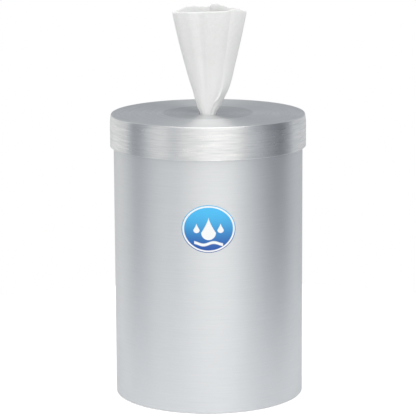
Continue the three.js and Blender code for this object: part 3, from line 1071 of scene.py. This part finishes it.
def makeLeadingWipe(material):
    # loop x = -width sin(angle), y = depth cos(angle) |cos(angle)|^pinch, wound from behind the
    # right-hand back layer, round the left, the front and the right; the later layer lies inside
    f = fan
    start = -np.radians(f["overlap"])
    angle = evenAngles(f["columns"], f["halfWidth"], f["halfDepth"], start, 2 * np.pi - f["seam"])
    across = np.linspace(0, 1, f["columns"])
    rise = wipeRise(angle, across)
    opened = np.minimum(np.maximum(rise, 0) / f["fullRise"], f["openMost"])
    halfWidth, halfDepth = loopSizes(angle, rise)
    gap = f["gapAtNeck"] + (1 - f["gapAtNeck"]) * opened
    inward = f["layerGap"] * smoothStep(0.0, 1.0, across) * gap
    side = np.cos(angle)
    x = -(halfWidth - inward) * np.sin(angle) + f["aside"] + f["lean"] * smoothStep(*f["leanRise"], rise)
    y = (halfDepth - inward) * side * np.abs(side) ** (f["tipPinch"] * opened ** 0.5)
    points = np.stack([x, y + foldPush(angle, rise, opened), f["lidTop"] + rise], -1)
    along = np.linspace(0, sheet["length"], f["rows"]) * mm
    obj = gridPiece("leadingWipe", points, along, across * sheet["width"] * mm)
    # painted light: the sheet is lighter towards the neck
    markPoints(obj, "gather", 1 - smoothStep(*f["paintedLightRise"], rise))
    smoothFaces(obj)
    thicken(obj, sheet["thick"], -1.0)
    finishPiece(obj, "lid", material, "wipe_cloth", "leading_wipe")


# the sheet inside: a span is a share of the way up it
feed = {
    "bottom": 116.9, "top": 268.5, "core": 21.3, "neck": 7.3, "layerGap": 1.0,
    "extraTurn": 170.0, "topTurn": 18.0, "seam": 0.6, "drawnSpan": (0.05, 0.95),
    "pleatDepth": 6.0, "pleatSpan": (0.15, 0.8), "paintedLightSpan": (0.4, 0.9),
    "heldBelow": 8.0, "heldAbove": 0.5, "columns": 260, "rows": 80,
}


def makeNextWipe(material):
    # radius core + (neck - core) * drawn, less the pleats and the layers' gap: wound one and a
    # half times against the core below, drawn in and pleated towards the top
    f = feed
    across = np.linspace(0, 1, f["columns"])[None, :]
    up = np.linspace(0, 1, f["rows"])[:, None]
    drawn = smoothStep(*f["drawnSpan"], up)
    extra = np.radians(f["extraTurn"]) * (1 - drawn) + np.radians(f["topTurn"]) * drawn
    angle = across * (2 * np.pi + extra) - f["seam"]
    pleat = f["pleatDepth"] * smoothStep(*f["pleatSpan"], up) * pleats(angle, fan["grooves"])
    radius = f["core"] + (f["neck"] - f["core"]) * drawn - pleat - f["layerGap"] * across
    points = roundAxis(radius, angle, f["bottom"] + (f["top"] - f["bottom"]) * up)
    along = np.linspace(0, sheet["length"], f["rows"]) * mm
    obj = gridPiece("nextWipe", points, along, across[0] * sheet["width"] * mm)
    # painted light: the sheet is lighter towards its top
    markPoints(obj, "gather", smoothStep(*f["paintedLightSpan"], up) + 0 * across)
    smoothFaces(obj)
    thicken(obj, sheet["thick"], -1.0)
    obj.data.materials.append(material)
    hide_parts("next_wipe")
    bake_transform(obj)


# Print on the front

label = {
    "height": 199.0, "halfWidth": 28.0, "halfHeight": 25.0, "radius": 101.85, "thick": 0.22,
    "rimInner": (0.90, 0.915), "rimOuter": (0.965, 0.98),  # shares of the oval's radius
    # drops: centre across and up from the oval's middle, and radius
    "drops": ((0.0, -4.0, 7.6), (-12.5, -1.0, 3.3), (12.5, -1.0, 3.3)),
    "dropTip": 2.1, "dropTaper": 1.35, "dropBlur": 0.15,
    "waveLevel": -15.5, "waveHalf": 1.5, "waveDepth": 1.3, "waveLength": 3.4, "waveReach": 15.0,
    "waveBlur": 0.4,
    "skySpan": (-24, 22),  # heights over which the deep blue turns to sky blue
    "rings": 110, "steps": 240,
}


def dropShape(x, z, size):
    # water drop, point up: a circle below, drawn in to a tip above; 1 inside, 0 outside
    d = label
    tip = d["dropTip"] * size
    lower = np.hypot(x, z) - size
    upper = np.abs(x) - size * (1 - np.clip(z / tip, 0, 1)) ** d["dropTaper"]
    outside = np.where(z > 0, np.where(z < tip, upper, 1.0), lower)
    return 1 - smoothStep(-d["dropBlur"], d["dropBlur"], outside)


def whitePrint(x, z, ring):
    # 1 where the film stays white: a thin rim, the drops, and a band about a sine wave
    d = label
    rim = smoothStep(*d["rimInner"], ring) * (1 - smoothStep(*d["rimOuter"], ring))
    middle = d["waveLevel"] + d["waveDepth"] * np.sin(x / d["waveLength"])
    wave = smoothStep(-d["waveBlur"], d["waveBlur"], d["waveHalf"] - np.abs(z - middle))
    marks = wave * (np.abs(x) < d["waveReach"])
    for across, up, size in d["drops"]:
        marks = np.maximum(marks, dropShape(x - across, z - up, size))
    return np.clip(rim + marks, 0, 1)


def makeLabel(material):
    # an oval patch on the tube: rings of an ellipse laid on a cylinder about its axis
    d = label
    ring = np.linspace(0, 1, d["rings"])[:, None]
    angle = wholeTurn(d["steps"])[None, :]
    x = d["halfWidth"] * ring * np.cos(angle)
    z = d["halfHeight"] * ring * np.sin(angle)
    y = -np.sqrt(d["radius"] ** 2 - x ** 2)
    points = np.stack([x, y, z + d["height"]], -1)
    obj = gridPiece("frontLabel", points, ring[:, 0], np.arange(d["steps"] + 1) / d["steps"], False, True)
    markPoints(obj, "ink", 1 - whitePrint(x, z, ring))
    markPoints(obj, "depth", 1 - smoothStep(*d["skySpan"], z))
    closeUp(obj)
    thicken(obj, d["thick"], 1.0)
    finishPiece(obj, "canister", material, "blue_print", "front_label")


setCamera()
setStudio()
setFloor()
for lampName, lamp in lamps.items():
    setLamp(lampName, lamp)
print("stage ready")

makeCanister(brushedMetal("brushedTube", tubeLook))
makeLid(brushedMetal("brushedLid", lidLook))
makeBase(brushedMetal("pressedAluminium", pressedLook))
print("metal pieces ready")

makeFoot(softRubber("blackRubber", rubberLook))
makeSeal(softRubber("greyFoam", foamLook))
makeLiner(mouldedPlastic("linerPlastic", linerLook))
makeNozzle(mouldedPlastic("nozzlePlastic", nozzleLook))
makeLabel(printedLabel("printedFilm", labelLook))
print("plastic and rubber pieces ready")

makeRoll(wetCloth("rollCloth", clothLook, onRoll=True))
cloth = wetCloth("wipeCloth", clothLook)
makeLeadingWipe(cloth)
makeNextWipe(cloth)
print("cloth pieces ready")

print("finished")
